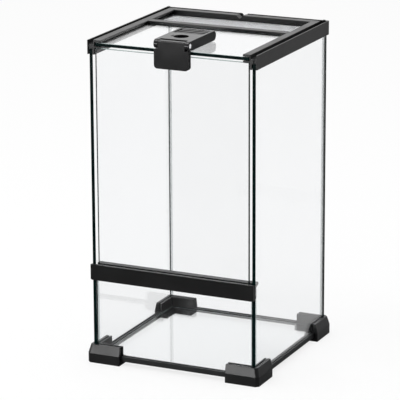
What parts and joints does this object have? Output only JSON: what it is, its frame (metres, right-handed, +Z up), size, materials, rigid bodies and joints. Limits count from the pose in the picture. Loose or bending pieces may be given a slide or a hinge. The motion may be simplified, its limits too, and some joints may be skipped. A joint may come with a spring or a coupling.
{
  "type": "reptile terrarium",
  "caption": "Tall glass reptile terrarium with a tilting front door, a sliding glass lid with a locking flap, a wire mesh vent strip and moulded corner feet.",
  "frame": {"origin": "on the resting surface, under the middle of the four feet", "axes": "+X to the right seen from the front, +Y from the door towards the back pane, +Z up"},
  "size_m": [0.214, 0.2168, 0.3862],
  "materials": {
    "black_plastic": "satin moulded black",
    "clear_glass": "clear float glass, polished faces",
    "silicone": "clear silicone",
    "steel_mesh": "plain woven wire",
    "steel_pin": "ground pin ends"
  },
  "bodies": {
    "tank": {"foot_front_left": "black_plastic", "foot_front_right": "black_plastic", "foot_back_left": "black_plastic", "foot_back_right": "black_plastic", "base_strip_front": "black_plastic", "base_strip_back": "black_plastic", "base_strip_left": "black_plastic", "base_strip_right": "black_plastic", "base_pane": "clear_glass", "left_pane": "clear_glass", "right_pane": "clear_glass", "back_pane": "clear_glass", "lower_front_pane": "clear_glass", "seam_back_left": "silicone", "seam_back_right": "silicone", "seam_front_left": "silicone", "seam_front_right": "silicone", "sill_bar": "black_plastic", "sill_cap_left": "black_plastic", "sill_cap_right": "black_plastic", "left_rail": "black_plastic", "right_rail": "black_plastic", "back_rail": "black_plastic", "crossbar": "black_plastic", "vent_mesh": "steel_mesh"},
    "door": {"door_pane": "clear_glass"},
    "lid": {"lid_pane": "clear_glass", "latch_pad": "silicone", "latch_base": "black_plastic", "latch_pin": "steel_pin"},
    "flap": {"latch_flap": "black_plastic"}
  },
  "joints": [
    {"name": "lid_slide", "type": "slide", "parent": "tank", "child": "lid", "axis": [0, -1, 0], "range_m": [0, 0.09]},
    {"name": "flap_hinge", "type": "hinge", "parent": "lid", "child": "flap", "pos_m": [0.0035, -0.1048, 0.3812], "axis": [-1, 0, 0], "range_deg": [0, 170]},
    {"name": "door_tilt", "type": "hinge", "parent": "tank", "child": "door", "pos_m": [0, -0.1022, 0.1135], "axis": [1, 0, 0], "range_deg": [0, 6.5]}
  ],
  "couplings": [
    {"joint": "flap_hinge", "follows": "door_tilt", "ratio": 26}
  ]
}
